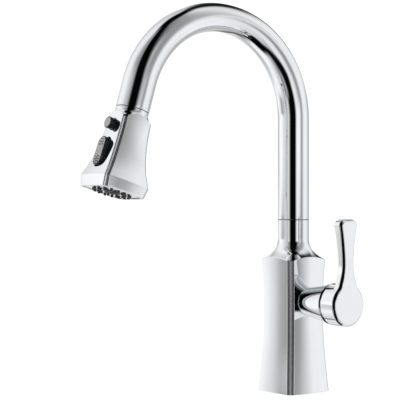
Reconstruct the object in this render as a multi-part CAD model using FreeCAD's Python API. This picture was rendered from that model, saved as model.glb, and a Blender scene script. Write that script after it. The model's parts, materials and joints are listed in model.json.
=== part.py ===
import FreeCAD, Part
import math
import os

# Pull down kitchen faucet. Millimetres, +Z up, origin at the centre of the tower's base on the
# deck plane. The spout reaches towards -Y and the side lever stands on +X.

# ---- driving dimensions ----

# square tower with cut corners
TOWER_SIDES = [(0.0, 27.8), (30.0, 25.5), (61.0, 23.9), (86.0, 23.5), (110.0, 24.0), (134.0, 25.3)]
TOWER_CUT = 4.95
TOWER_BULGE = 1.5
CAVITY_R = 19.2
CAVITY_TOP = 112.0
SHOULDER_Z = 133.6
COVE_TOP = 154.9
NECK_TOP = 174.0
NECK_BORE = 13.9

# gooseneck
TUBE_R = 16.0
TUBE_WALL = 1.6
TUBE_BASE = 174.55
BEND_Z = 276.6
BEND_R = 95.9
OUTLET_TILT = 16.4
OUTLET_RUN = 27.0
BEND_FLATTEN = 0.14
BEND_SECTIONS = 16

# side valve, on an axis along +X
VALVE_Z = 92.0
SPOT_X = 23.3
SPOT_R = 14.0
HOUSING_ROOT_R = 13.8
HOUSING_R = 20.5
HOUSING_END = 63.2
SPIGOT_R = 10.9
SPIGOT_X = 15.0
PIVOT_X = 47.0
LIFT_CLEAR_R = 25.2
BALL_X = 40.2
CARTRIDGE_R = 12.5
PORT_Y = 6.6
PORT_Z = 2.0
OUTLET_Z = -5.5
WATERWAY_R = 1.8

# lever
HUB_X = 65.0
HUB_R = 20.7
HUB_BORE = 18.2
LEVER_FACE_X = 84.0
LEVER_TOP = 83.0
LEVER_HALF = [
    (13.6, 15.8), (10.9, 21.5), (8.6, 29.0), (7.45, 40.0), (8.2, 54.0), (10.0, 68.0), (11.6, 77.0),
]

# spray head, measured down from the joint with the spout
HEAD_SIDES = [(0.0, 16.1), (9.0, 16.0), (25.0, 16.5), (40.0, 17.9), (55.0, 20.4), (69.7, 24.6)]
RIM_TOP = 69.7
RIM_BOTTOM = 80.0
RIM_HALF = 22.8
HEAD_CUT = 4.0
HEAD_WALL = 2.0
HEAD_GAP = 0.4
NOZZLE_RINGS = [(17.2, 16), (12.6, 10)]
NOZZLE_R = 1.6
PAUSE_DOWN = 19.0
PAUSE_R = 5.5
PAUSE_OUT = 22.8
ROCKER_DOWN = 47.1
ROCKER_FACE = 24.1
ROCKER_HALF_W = 6.5
ROCKER_HALF_L = 14.2
ROCKER_PIVOT = 14.6
ROCKER_TILT = 3.0

# hose, inlets and deck fixing
HOSE_R = 5.0
HOSE_BORE = 3.0
HOSE_LOW = -58.0
INLET_R = 4.46
INLET_RADIUS = 10.5
INLET_TURN = 75.0
SHANK_R = 17.0
SHANK_THREAD_R = 16.8
SHANK_BORE = 15.2
SHANK_LOW = -60.0
DECK_MAX = 30.0
JACK_PLACE = 15.2

Z_AXIS = FreeCAD.Vector(0, 0, 1)
X_AXIS = FreeCAD.Vector(1, 0, 0)
Y_AXIS = FreeCAD.Vector(0, 1, 0)


# ---- shape helpers ----

def rod(radius, start, end, axis=Z_AXIS, centre=(0, 0, 0)):
    """A cylinder from start to end along an axis through centre."""
    base = FreeCAD.Vector(*centre) + axis * start
    return Part.makeCylinder(radius, end - start, base, axis)


def ring(outer, inner, start, end, axis=Z_AXIS, centre=(0, 0, 0)):
    """A plain tube from start to end."""
    return rod(outer, start, end, axis, centre).cut(rod(inner, start - 1, end + 1, axis, centre))


def block(x, y, z):
    """A box between two corners, each axis given as (low, high)."""
    corner = FreeCAD.Vector(x[0], y[0], z[0])
    return Part.makeBox(x[1] - x[0], y[1] - y[0], z[1] - z[0], corner)


def turned(edges, axis):
    """The solid that a closed outline sweeps in one full turn."""
    face = Part.Face(Part.Wire(Part.__sortEdges__(edges)))
    return face.revolve(FreeCAD.Vector(0, 0, 0), axis, 360)


def line(a, b):
    return Part.LineSegment(FreeCAD.Vector(*a), FreeCAD.Vector(*b)).toShape()


def polyline(points):
    return [line(a, b) for a, b in zip(points, points[1:])]


def cut_square(height, half, cut, bulge):
    """A square outline whose sides bow out and whose corners are cut off."""
    edges = []
    for quarter in range(4):
        turn = FreeCAD.Rotation(Z_AXIS, 90 * quarter)
        start = turn.multVec(FreeCAD.Vector(half, cut - half, height))
        crown = turn.multVec(FreeCAD.Vector(half + bulge, 0, height))
        end = turn.multVec(FreeCAD.Vector(half, half - cut, height))
        corner = turn.multVec(FreeCAD.Vector(half - cut, half, height))
        edges.append(Part.Arc(start, crown, end).toShape())
        edges.append(Part.LineSegment(end, corner).toShape())
    return Part.Wire(edges)


def hexagon(across_corners, low, high, centre=(0, 0)):
    """A hexagonal prism from low to high."""
    corners = []
    for k in range(7):
        angle = math.radians(60 * k)
        x = centre[0] + across_corners / 2 * math.cos(angle)
        y = centre[1] + across_corners / 2 * math.sin(angle)
        corners.append(FreeCAD.Vector(x, y, low))
    return Part.Face(Part.makePolygon(corners)).extrude(FreeCAD.Vector(0, 0, high - low))


def stadium(half_width, half_length, near, far):
    """An upright slot with round ends, as a solid from y=-far to y=-near."""
    straight = half_length - half_width
    solid = block((-half_width, half_width), (-far, -near), (-straight, straight))
    for z in (-straight, straight):
        solid = solid.fuse(rod(half_width, -far, -near, Y_AXIS, (0, 0, z)))
    return solid.removeSplitter()


def on_valve(shape):
    """Lift a solid made about the X axis to the height of the valve."""
    return shape.translated(FreeCAD.Vector(0, 0, VALVE_Z))


def bend_frame(angle):
    """The placement of a section of the gooseneck, as far round the bend as angle."""
    turn = math.radians(angle)
    point = FreeCAD.Vector(0, -BEND_R * (1 - math.cos(turn)), BEND_Z + BEND_R * math.sin(turn))
    return FreeCAD.Placement(point, FreeCAD.Rotation(X_AXIS, angle))


BEND_SWEEP = 180.0 - OUTLET_TILT
OUTLET = bend_frame(BEND_SWEEP).multiply(
    FreeCAD.Placement(FreeCAD.Vector(0, 0, OUTLET_RUN), FreeCAD.Rotation())
)


def on_head(shape):
    """Place a solid made upright, its joint face at z=0, at the end of the spout."""
    placed = shape.copy()
    placed.Placement = FreeCAD.Placement(OUTLET.Base, FreeCAD.Rotation(X_AXIS, -OUTLET_TILT))
    return placed


# ---- tower and neck ----

def tower_outline():
    wires = [cut_square(z, half, TOWER_CUT, TOWER_BULGE) for z, half in TOWER_SIDES]
    wires.append(cut_square(NECK_TOP + 6, 29.5, TOWER_CUT, TOWER_BULGE))
    return Part.makeLoft(wires, True, False)


def cove_outline():
    """Everything inside the hollow shoulder that runs from the tower's corners to the neck."""
    curve = Part.BSplineCurve()
    curve.interpolate(
        Points=[
            FreeCAD.Vector(38.0, 0, SHOULDER_Z - 2.1),
            FreeCAD.Vector(26.1, 0, SHOULDER_Z + 3.8),
            FreeCAD.Vector(19.2, 0, SHOULDER_Z + 10.0),
            FreeCAD.Vector(TUBE_R, 0, COVE_TOP),
        ],
        InitialTangent=FreeCAD.Vector(-1, 0, 0.33),
        FinalTangent=FreeCAD.Vector(0, 0, 1),
    )
    rest = polyline([
        (TUBE_R, 0, COVE_TOP), (TUBE_R, 0, NECK_TOP), (0, 0, NECK_TOP),
        (0, 0, -1), (38.0, 0, -1), (38.0, 0, SHOULDER_Z - 2.1),
    ])
    return turned([curve.toShape()] + rest, Z_AXIS)


def body_shell():
    shell = tower_outline().common(cove_outline())
    shell = shell.cut(rod(CAVITY_R, -1, CAVITY_TOP))
    taper = Part.makeCone(CAVITY_R, NECK_BORE, 6, FreeCAD.Vector(0, 0, CAVITY_TOP))
    shell = shell.cut(taper)
    shell = shell.cut(rod(NECK_BORE, CAVITY_TOP + 5, NECK_TOP + 1))
    shell = shell.cut(ring(24.6, 20.8, -1, 2.4))
    shell = shell.cut(on_valve(rod(SPIGOT_R + 0.1, 10, 40, X_AXIS)))
    shell = shell.cut(on_valve(rod(SPOT_R, SPOT_X, 40, X_AXIS)))
    return shell.cut(rod(2.0, 10, 20, Y_AXIS, (0, 0, NECK_TOP - 3.6)))


def base_gasket():
    return ring(24.5, 20.9, 0, 2.3)


def mounting_shank():
    """Hollow stud under the tower: plain through the deck, threaded below it."""
    shank = rod(SHANK_R, -DECK_MAX, 0).fuse(rod(CAVITY_R - 0.1, 0, 12))
    shank = shank.fuse(rod(SHANK_THREAD_R, SHANK_LOW + 1.2, -DECK_MAX))
    shank = shank.fuse(Part.makeCone(
        SHANK_THREAD_R - 1.2, SHANK_THREAD_R, 1.2, FreeCAD.Vector(0, 0, SHANK_LOW)
    ))
    return shank.cut(rod(SHANK_BORE, SHANK_LOW - 1, 13))


def deck_gasket():
    return ring(27.0, SHANK_R + 0.3, -DECK_MAX - 3, -DECK_MAX)


def clamp_washer():
    return ring(27.0, SHANK_R + 0.3, -DECK_MAX - 5, -DECK_MAX - 3)


def mounting_nut():
    low = -DECK_MAX - 19
    high = -DECK_MAX - 7
    nut = rod(25.0, low, high)
    for turn in (0, 90):
        wing = block((-31, 31), (-4.5, 4.5), (low, high)).rotated(
            FreeCAD.Vector(0, 0, 0), Z_AXIS, turn
        )
        nut = nut.fuse(wing)
    nut = nut.cut(rod(SHANK_THREAD_R + 0.05, low - 1, high + 1))
    for side in (-1, 1):
        place = JACK_PLACE * side
        nut = nut.cut(rod(2.55, low - 1, high + 1, Z_AXIS, (place, place, 0)))
    return nut.removeSplitter()


def clamp_screws():
    """Two hex head screws through the nut that press up on the steel washer."""
    screws = []
    for side in (-1, 1):
        place = JACK_PLACE * side
        shaft = rod(2.5, -DECK_MAX - 23, -DECK_MAX - 5, Z_AXIS, (place, place, 0))
        head = hexagon(9.2, -DECK_MAX - 26, -DECK_MAX - 22.5, (place, place))
        screws.append(shaft.fuse(head).removeSplitter())
    return Part.makeCompound(screws)


def inlet_centre(turn):
    angle = math.radians(turn)
    return (INLET_RADIUS * math.cos(angle), INLET_RADIUS * math.sin(angle), 0)


def waterway_block():
    low = VALVE_Z - 16
    high = VALVE_Z + 15
    body = rod(CAVITY_R - 0.2, low, high)
    body = body.cut(rod(HOSE_R + 0.4, low - 1, high + 1))
    body = body.cut(block((SPIGOT_X, 30), (-30, 30), (low - 1, high + 1)))
    for turn in (-INLET_TURN, 0, INLET_TURN):
        body = body.cut(rod(INLET_R, low - 1, low + 12, Z_AXIS, inlet_centre(turn)))
    for side in (-1, 1):
        x, y, _ = inlet_centre(side * INLET_TURN)
        body = body.cut(rod(2.0, low + 11, VALVE_Z + 4, Z_AXIS, (x, side * 9.2, 0)))
        drill = rod(2.0, x - 1, SPIGOT_X + 1, X_AXIS, (0, side * 8.0, VALVE_Z + PORT_Z))
        body = body.cut(drill)
    return body.cut(rod(2.0, INLET_RADIUS, SPIGOT_X + 1, X_AXIS, (0, 0, VALVE_Z + OUTLET_Z)))


def spout_slip_ring():
    return ring(15.7, 14.0, NECK_TOP, NECK_TOP + 0.5)


def spout_retaining_screw():
    screw = rod(1.95, 11.7, 15.6, Y_AXIS, (0, 0, NECK_TOP - 3.6))
    return screw.cut(rod(1.0, 13.6, 16, Y_AXIS, (0, 0, NECK_TOP - 3.6)))


# ---- valve ----

def drilled(body, start, end, radius):
    """Cut the cold, hot and mixed waterways through a piece of the valve."""
    for y, z in ((-PORT_Y, PORT_Z), (PORT_Y, PORT_Z), (0, OUTLET_Z)):
        body = body.cut(rod(radius, start, end, X_AXIS, (0, y, z)))
    return body


def valve_housing():
    nose = math.sqrt(LIFT_CLEAR_R ** 2 - HOUSING_R ** 2)
    tip = math.sqrt(LIFT_CLEAR_R ** 2 - (HOUSING_END - PIVOT_X) ** 2)
    middle_angle = (math.atan2(HOUSING_R, nose) + math.atan2(tip, HOUSING_END - PIVOT_X)) / 2
    middle = (
        PIVOT_X + LIFT_CLEAR_R * math.cos(middle_angle), 0, LIFT_CLEAR_R * math.sin(middle_angle)
    )
    lip = Part.Arc(
        FreeCAD.Vector(PIVOT_X + nose, 0, HOUSING_R),
        FreeCAD.Vector(*middle),
        FreeCAD.Vector(HOUSING_END, 0, tip),
    ).toShape()
    sides = polyline([
        (HOUSING_END, 0, tip), (HOUSING_END, 0, 0), (SPIGOT_X, 0, 0), (SPIGOT_X, 0, SPIGOT_R),
        (SPOT_X, 0, SPIGOT_R), (SPOT_X, 0, HOUSING_ROOT_R), (PIVOT_X + nose, 0, HOUSING_R),
    ])
    housing = turned([lip] + sides, X_AXIS)
    housing = housing.cut(rod(16.5, 50, 70, X_AXIS))
    housing = housing.cut(rod(CARTRIDGE_R + 0.1, 31, 51, X_AXIS))
    housing = drilled(housing, 22, 32, WATERWAY_R)
    for y, z in ((-8.0, PORT_Z), (8.0, PORT_Z), (0, OUTLET_Z)):
        housing = housing.cut(rod(2.0, 14, 24, X_AXIS, (0, y, z)))
    return on_valve(housing)


def cartridge_gasket():
    return on_valve(drilled(rod(CARTRIDGE_R - 0.1, 31, 32, X_AXIS), 30, 33, WATERWAY_R))


def cartridge_body():
    body = rod(CARTRIDGE_R, 32, 50, X_AXIS).cut(rod(10.0, 35, 51, X_AXIS))
    return on_valve(drilled(body, 31, 36, WATERWAY_R))


def ceramic_disc_fixed():
    return on_valve(drilled(rod(9.8, 35, 38, X_AXIS), 34, 39, WATERWAY_R))


def ceramic_disc_moving():
    disc = rod(8.0, 38, 42, X_AXIS, (0, 0, -1.5))
    disc = disc.cut(rod(1.65, 38.6, 43, X_AXIS))
    mouth = Part.makeCone(1.65, 2.6, 1.5, FreeCAD.Vector(40.5, 0, 0), X_AXIS)
    return on_valve(disc.cut(mouth))


def cartridge_spindle():
    spindle = rod(9.9, 42.2, 49.8, X_AXIS)
    spindle = spindle.cut(block((41, 51), (-3.2, 3.2), (-4.8, 6.4)))
    return on_valve(spindle.cut(rod(1.25, -12, 12, Y_AXIS, (PIVOT_X, 0, 0))))


def pivot_pin():
    return on_valve(rod(1.2, -9.0, 9.0, Y_AXIS, (PIVOT_X, 0, 0)))


def lever_stem():
    """A rocking stem: ball at the disc, round shank through the pin, square end in the lever."""
    stem = rod(1.0, BALL_X, 44.5, X_AXIS).fuse(rod(3.0, 44, 50.5, X_AXIS))
    stem = stem.fuse(Part.makeSphere(1.5, FreeCAD.Vector(BALL_X, 0, 0)))
    stem = stem.fuse(block((50, 74.5), (-3, 3), (-3, 3)))
    return on_valve(stem.cut(rod(1.25, -12, 12, Y_AXIS, (PIVOT_X, 0, 0))))


def cartridge_nut():
    nut = ring(16.3, 8.6, 50, 54.6, X_AXIS)
    for quarter in range(4):
        notch = block((53.2, 56), (-2, 2), (13.4, 18))
        nut = nut.cut(notch.rotated(FreeCAD.Vector(0, 0, 0), X_AXIS, 90 * quarter + 45))
    return on_valve(nut)


def bonnet():
    """The domed ring in the mouth of the housing, hollow, with a round hole for the stem."""
    pivot = FreeCAD.Vector(PIVOT_X, 0, 0)
    dome = Part.makeSphere(18.0, pivot).cut(Part.makeSphere(16.6, pivot))
    dome = dome.common(rod(30, 56.0, 70, X_AXIS))
    dome = dome.fuse(ring(16.4, 14.0, 54.7, 57.5, X_AXIS))
    return on_valve(dome.cut(rod(10.6, 50, 70, X_AXIS)).removeSplitter())


# ---- lever ----

def lever_outline():
    """The spoon outline in the Y-Z plane: a round hub, a waist and a broad rounded grip."""
    left = [FreeCAD.Vector(0, -y, z) for y, z in LEVER_HALF]
    right = [FreeCAD.Vector(0, y, z) for y, z in reversed(LEVER_HALF)]
    climb = Part.BSplineCurve()
    climb.interpolate(
        Points=left,
        InitialTangent=FreeCAD.Vector(0, 0.76, 0.65),
        FinalTangent=FreeCAD.Vector(0, -0.2, 1),
    )
    fall = Part.BSplineCurve()
    fall.interpolate(
        Points=right,
        InitialTangent=FreeCAD.Vector(0, -0.2, -1),
        FinalTangent=FreeCAD.Vector(0, 0.76, -0.65),
    )
    crown = Part.BSplineCurve()
    crown.interpolate(
        Points=[
            left[-1],
            FreeCAD.Vector(0, -8.6, LEVER_TOP - 1.1),
            FreeCAD.Vector(0, 0, LEVER_TOP),
            FreeCAD.Vector(0, 8.6, LEVER_TOP - 1.1),
            right[0],
        ],
        InitialTangent=FreeCAD.Vector(0, -0.2, 1),
        FinalTangent=FreeCAD.Vector(0, -0.2, -1),
    )
    foot = Part.Arc(right[-1], FreeCAD.Vector(0, 0, -HUB_R), left[0]).toShape()
    return Part.Wire([climb.toShape(), crown.toShape(), fall.toShape(), foot])


def lever_side():
    """The lever seen from the side: flat at the hub, a little thicker at the grip."""
    back = Part.BSplineCurve()
    back.interpolate([
        FreeCAD.Vector(75.4, 0, 16), FreeCAD.Vector(75.7, 0, 34),
        FreeCAD.Vector(75.0, 0, 60), FreeCAD.Vector(73.8, 0, 90),
    ])
    front = Part.BSplineCurve()
    front.interpolate([
        FreeCAD.Vector(LEVER_FACE_X + 0.6, 0, 90), FreeCAD.Vector(LEVER_FACE_X, 0, 50),
        FreeCAD.Vector(LEVER_FACE_X, 0, 10), FreeCAD.Vector(LEVER_FACE_X, 0, -30),
    ])
    rest = polyline([(LEVER_FACE_X, 0, -30), (75.4, 0, -30), (75.4, 0, 16)])
    top = line((73.8, 0, 90), (LEVER_FACE_X + 0.6, 0, 90))
    wire = Part.Wire(Part.__sortEdges__([back.toShape(), front.toShape(), top] + rest))
    side = Part.Face(wire).extrude(FreeCAD.Vector(0, 60, 0))
    return side.translated(FreeCAD.Vector(0, -30, 0))


def handle_lever():
    plate = Part.Face(lever_outline()).extrude(FreeCAD.Vector(30, 0, 0))
    plate = plate.translated(FreeCAD.Vector(65, 0, 0)).common(lever_side())
    rims = [e for e in plate.Edges if e.Length > 9 and not is_straight_along_x(e)]
    try:
        plate = plate.makeFillet(0.7, rims)
    except Part.OCCError:
        print("lever rim left sharp")
    lever = plate.fuse(rod(HUB_R - 0.1, HUB_X, 76.5, X_AXIS))
    lever = lever.cut(rod(HUB_BORE, HUB_X - 1, 75.5, X_AXIS))
    lever = lever.fuse(rod(7.5, 68, 76, X_AXIS))
    lever = lever.cut(block((67, 75), (-3.05, 3.05), (-3.05, 3.05)))
    lever = lever.cut(rod(2.0, -8.5, -2, Z_AXIS, (71.5, 0, 0)))
    return on_valve(lever.cut(rod(3.0, -25, -17, Z_AXIS, (71.5, 0, 0))))


def is_straight_along_x(edge):
    start, end = edge.Vertexes[0].Point, edge.Vertexes[-1].Point
    return abs(start.y - end.y) < 0.01 and abs(start.z - end.z) < 0.01 and start != end


def handle_set_screw():
    screw = rod(1.95, -7.6, -3.0, Z_AXIS, (71.5, 0, 0))
    return on_valve(screw.cut(rod(1.0, -8, -5.6, Z_AXIS, (71.5, 0, 0))))


def screw_plug():
    plug = rod(2.95, -20.3, -18.4, Z_AXIS, (71.5, 0, 0))
    return on_valve(plug)


# ---- gooseneck ----

def bend(radius):
    """The bent stretch of the gooseneck; its section is slightly flattened in mid bend."""
    wires = []
    for step in range(BEND_SECTIONS + 1):
        share = step / BEND_SECTIONS
        squeeze = 1 - BEND_FLATTEN * math.sin(math.pi * share) ** 2
        across = radius - (1 - squeeze) * TUBE_R
        if across < radius:
            curve = Part.Ellipse(FreeCAD.Vector(0, 0, 0), radius, across)
        else:
            curve = Part.Circle(FreeCAD.Vector(0, 0, 0), Z_AXIS, radius)
        wire = Part.Wire(curve.toShape())
        wire.Placement = bend_frame(BEND_SWEEP * share)
        wires.append(wire)
    return Part.makeLoft(wires, True, False)


def outlet_rod(radius, start, end):
    """A cylinder on the outlet's axis, measured back from the joint with the head."""
    return on_head(rod(radius, start, end))


def gooseneck(radius, overrun):
    """The gooseneck as a solid bar: riser, bend and outlet run."""
    bar = rod(radius, TUBE_BASE - overrun, BEND_Z).fuse(bend(radius))
    return bar.fuse(outlet_rod(radius, -overrun, OUTLET_RUN))


def spout_tube():
    return gooseneck(TUBE_R, 0).cut(gooseneck(TUBE_R - TUBE_WALL, 1))


def spout_stub():
    """Brass insert in the foot of the gooseneck that turns in the neck of the tower."""
    stub = rod(13.4, NECK_TOP - 34, TUBE_BASE + 0.1).fuse(rod(14.3, TUBE_BASE + 0.1, 192))
    stub = stub.cut(rod(8.0, 100, 200))
    for low, high, depth in ((-32, -26, 11.9), (-14, -8, 11.9), (-5.8, -1.4, 11.4)):
        stub = stub.cut(ring(20, depth, NECK_TOP + low, NECK_TOP + high))
    for height in (-21.0, -17.5):
        stub = stub.cut(ring(20, 11.3, NECK_TOP + height - 1.3, NECK_TOP + height + 1.3))
    return stub


def swivel_bush(low):
    return ring(13.84, 11.95, NECK_TOP + low, NECK_TOP + low + 5.8)


def swivel_o_rings():
    rings = []
    for height in (-21.0, -17.5):
        rings.append(Part.makeTorus(12.6, 1.22, FreeCAD.Vector(0, 0, NECK_TOP + height)))
    return Part.makeCompound(rings)


def dock_collar():
    """Plastic sleeve in the end of the spout that the head's neck slides into."""
    sleeve = rod(14.3, 0.8, 21).cut(rod(11.5, 0, 19))
    return on_head(sleeve.cut(rod(6.4, 18, 22)))


def dock_magnet():
    return on_head(ring(11.4, 6.6, 14.6, 18.9))


def hose_bar(radius, overrun):
    """Riser and bend of the hose as a solid bar."""
    disc = Part.Face(Part.Wire(Part.Circle(FreeCAD.Vector(0, 0, BEND_Z), Z_AXIS, radius).toShape()))
    curve = disc.revolve(FreeCAD.Vector(0, -BEND_R, BEND_Z), X_AXIS, BEND_SWEEP)
    return rod(radius, HOSE_LOW - overrun, BEND_Z).fuse(curve)


def spray_hose():
    """The hose from the fitting under the deck to the end of the bend, one bore throughout."""
    end = outlet_rod(HOSE_BORE, OUTLET_RUN - 1, OUTLET_RUN)
    return hose_bar(HOSE_R, 0).cut(hose_bar(HOSE_BORE, 1)).cut(end)


def hose_connector():
    """Crimped ferrule, hex and threaded tail at the lower end of the hose."""
    ferrule = ring(6.2, HOSE_R + 0.05, HOSE_LOW, HOSE_LOW + 12)
    tail = rod(4.9, HOSE_LOW - 22, HOSE_LOW - 10)
    whole = hexagon(16, HOSE_LOW - 10, HOSE_LOW).fuse(tail)
    whole = whole.cut(rod(HOSE_BORE, HOSE_LOW - 30, HOSE_LOW + 1))
    return whole.fuse(ferrule).removeSplitter()


# ---- end of the hose, inside the head ----

def hose_tail():
    return on_head(ring(HOSE_R, HOSE_BORE, 1, OUTLET_RUN - 0.4))


def hose_ferrule():
    return on_head(ring(6.0, HOSE_R + 0.05, 1, 11))


def hose_fitting():
    """Barbed spindle with a flange, on which the head turns freely."""
    spindle = rod(HOSE_BORE - 0.05, -9, 9).fuse(rod(5.9, -0.6, 0.9)).fuse(rod(7.4, -7, -5))
    return on_head(spindle.cut(rod(2.0, -10, 10)).removeSplitter())


# ---- spray head ----

def head_sections(inset, cut):
    wires = []
    for down, half in HEAD_SIDES:
        bulge = 0.3 + 0.9 * down / RIM_TOP
        wires.append(cut_square(-down, half - inset, cut, bulge))
    return wires


def head_outer():
    flare = Part.makeLoft(head_sections(0, HEAD_CUT), True, False)
    top = cut_square(-RIM_TOP, HEAD_SIDES[-1][1], HEAD_CUT, 1.2)
    bottom = cut_square(-RIM_BOTTOM, RIM_HALF, HEAD_CUT, 1.2)
    rim = Part.makeLoft([top, bottom], True, True)
    return flare.fuse(rim)


def head_cavity(inset):
    """The hollow of the head, inset from its outside."""
    wires = head_sections(inset, HEAD_CUT - 0.8)[2:]
    flare = Part.makeLoft(wires, True, False)
    top = cut_square(-RIM_TOP, HEAD_SIDES[-1][1] - inset, HEAD_CUT - 0.8, 1.2)
    bottom = cut_square(-RIM_BOTTOM - 0.5, RIM_HALF - inset, HEAD_CUT - 0.8, 1.2)
    return flare.fuse(Part.makeLoft([top, bottom], True, True))


def head_cove():
    """Everything inside the small hollow shoulder below the joint."""
    curve = Part.BSplineCurve()
    curve.interpolate(
        Points=[
            FreeCAD.Vector(TUBE_R - 0.2, 0, -2.6), FreeCAD.Vector(17.4, 0, -6.6),
            FreeCAD.Vector(20.0, 0, -9.6), FreeCAD.Vector(26.0, 0, -13.0),
        ],
        InitialTangent=FreeCAD.Vector(0, 0, -1),
        FinalTangent=FreeCAD.Vector(1, 0, -0.4),
    )
    rest = polyline([
        (26.0, 0, -13.0), (40, 0, -13.0), (40, 0, -90), (0, 0, -90), (0, 0, -HEAD_GAP),
        (TUBE_R - 0.5, 0, -HEAD_GAP), (TUBE_R - 0.2, 0, -HEAD_GAP - 0.3), (TUBE_R - 0.2, 0, -2.6),
    ])
    return turned([curve.toShape()] + rest, Z_AXIS)


def rocker_slot(margin, near, far):
    slot = stadium(ROCKER_HALF_W + margin, ROCKER_HALF_L + margin, near, far)
    return slot.translated(FreeCAD.Vector(0, 0, -ROCKER_DOWN))


def head_shell():
    shell = head_outer().common(head_cove())
    shell = shell.cut(rod(13.5, -26, 1)).cut(head_cavity(HEAD_WALL))
    shell = shell.cut(rod(PAUSE_R + 0.4, -30, -10, Y_AXIS, (0, 0, -PAUSE_DOWN)))
    opening = stadium(ROCKER_HALF_W + 0.4, ROCKER_HALF_L + 1.0, 10, 30)
    return on_head(shell.cut(opening.translated(FreeCAD.Vector(0, 0, 0.4 - ROCKER_DOWN))))


def spray_core():
    """Moulded waterway: neck that docks in the spout, chamber, and the plate behind the face."""
    core = rod(11.2, -3, 12).fuse(rod(13.2, -66, -3))
    plate = Part.Face(cut_square(-70, 20.4, 3.2, 0.6)).extrude(FreeCAD.Vector(0, 0, 4))
    core = core.fuse(plate)
    core = core.cut(rod(8.2, -9.4, 13)).cut(rod(4.0, -71, -9))
    core = core.cut(rod(PAUSE_R + 0.3, -14, -9.2, Y_AXIS, (0, 0, -PAUSE_DOWN)))
    core = core.cut(rod(1.75, -10, 0, Y_AXIS, (0, 0, -PAUSE_DOWN)))
    core = core.cut(rocker_slot(3.1, 10.4, 20))
    for side in (-2.4, 2.4):
        core = core.cut(rod(1.1, -11, -3, Y_AXIS, (0, 0, side - ROCKER_DOWN)))
    return on_head(core)


def dock_ring():
    return on_head(ring(11.2, 6.5, 12, 14.2))


def swivel_nut():
    return on_head(ring(8.1, 3.6, -4.8, -1.2))


def inlet_washer():
    return on_head(ring(8.0, 3.4, -9.4, -7.4))


def rocker_frame():
    """Black surround in the shell's opening, which carries the rocker's pin."""
    frame = rocker_slot(3.0, 10.6, 20).cut(rocker_slot(1.4, 5, 25))
    frame = frame.common(head_cavity(HEAD_WALL + 0.15))
    return on_head(frame.cut(rod(1.02, -9.0, 9.0, X_AXIS, (0, -ROCKER_PIVOT, -ROCKER_DOWN))))


def rocker_pin():
    return on_head(rod(1.0, -8.9, 8.9, X_AXIS, (0, -ROCKER_PIVOT, -ROCKER_DOWN)))


def tilted(shape):
    """The rocker rests with its lower end out, along the head's flare."""
    pivot = FreeCAD.Vector(0, -ROCKER_PIVOT, -ROCKER_DOWN)
    return shape.rotated(pivot, X_AXIS, -ROCKER_TILT)


def rocker():
    pad = rocker_slot(0, ROCKER_PIVOT + 0.6, ROCKER_FACE)
    rims = [e for e in pad.Edges if all(abs(v.Point.y + ROCKER_FACE) < 0.01 for v in e.Vertexes)]
    pad = pad.makeFillet(0.9, rims)
    middle = -ROCKER_DOWN
    lug = block((-5.5, 5.5), (-ROCKER_PIVOT - 1.5, -12.4), (middle - 3.4, middle + 3.4))
    pad = tilted(pad).fuse(lug)
    return on_head(pad.cut(rod(1.05, -12, 12, X_AXIS, (0, -ROCKER_PIVOT, middle))))


def rocker_icons():
    """Raised marks on the rocker: rows of drops above, a burst of drops below."""
    dots = []
    rows = ((11.2, (-1.2, 1.2)), (8.6, (-2.4, 0, 2.4)), (6.0, (-2.8, 0, 2.8)))
    for up, places in rows:
        dots += [(x, up) for x in places]
    for radius, count in ((1.6, 5), (3.8, 9)):
        for k in range(count):
            angle = 2 * math.pi * k / count
            dots.append((radius * math.sin(angle), -9.0 + radius * math.cos(angle)))
    marks = [
        tilted(rod(0.62, -ROCKER_FACE - 0.12, -ROCKER_FACE, Y_AXIS, (x, 0, up - ROCKER_DOWN)))
        for x, up in dots
    ]
    return on_head(Part.makeCompound(marks))


def diverter_paddle():
    """Rubber pad on the rocker's lug, which closes one of the two ports behind it at a time."""
    return on_head(block((-4, 4), (-12.4, -11.2), (-ROCKER_DOWN - 2.6, -ROCKER_DOWN + 2.6)))


def pause_button():
    cap = rod(PAUSE_R, -PAUSE_OUT, -16, Y_AXIS, (0, 0, -PAUSE_DOWN))
    rims = [e for e in cap.Edges if all(abs(v.Point.y + PAUSE_OUT) < 0.01 for v in e.Vertexes)]
    return on_head(cap.makeFillet(0.5, rims))


def pause_stem():
    return on_head(rod(1.6, -16, -3, Y_AXIS, (0, 0, -PAUSE_DOWN)))


def pause_spring():
    return on_head(ring(4.6, 4.0, -15.9, -9.3, Y_AXIS, (0, 0, -PAUSE_DOWN)))


def nozzle_places():
    places = []
    for radius, count in NOZZLE_RINGS:
        for k in range(count):
            angle = 2 * math.pi * (k + 0.5) / count
            places.append((radius * math.cos(angle), radius * math.sin(angle), 0))
    return places


def spray_face():
    face = Part.Face(cut_square(-79, 20.5, 3.2, 0.6)).extrude(FreeCAD.Vector(0, 0, 3))
    face = face.cut(rod(8.1, -80, -75))
    holes = [rod(NOZZLE_R + 0.15, -80, -75, Z_AXIS, place) for place in nozzle_places()]
    return on_head(face.cut(Part.makeCompound(holes)))


def nozzle_mat():
    mat = ring(19.4, 8.1, -76, -73)
    tips = []
    for x, y, _ in nozzle_places():
        tips.append(Part.makeCone(1.15, NOZZLE_R, 5.7, FreeCAD.Vector(x, y, -81.6)))
    return on_head(mat.fuse(tips))


def aerator():
    insert = rod(7.9, -80.2, -70.1)
    cells = []
    for ix in range(-3, 4):
        for iy in range(-3, 4):
            if math.hypot(ix, iy) < 3.3:
                cells.append(block(
                    (1.9 * ix - 0.7, 1.9 * ix + 0.7), (1.9 * iy - 0.7, 1.9 * iy + 0.7), (-81, -78)
                ))
    return on_head(insert.cut(Part.makeCompound(cells)).cut(rod(3.5, -78.5, -70)))


def face_gasket():
    return on_head(ring(19.4, 17.0, -72.9, -70.1))


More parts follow.
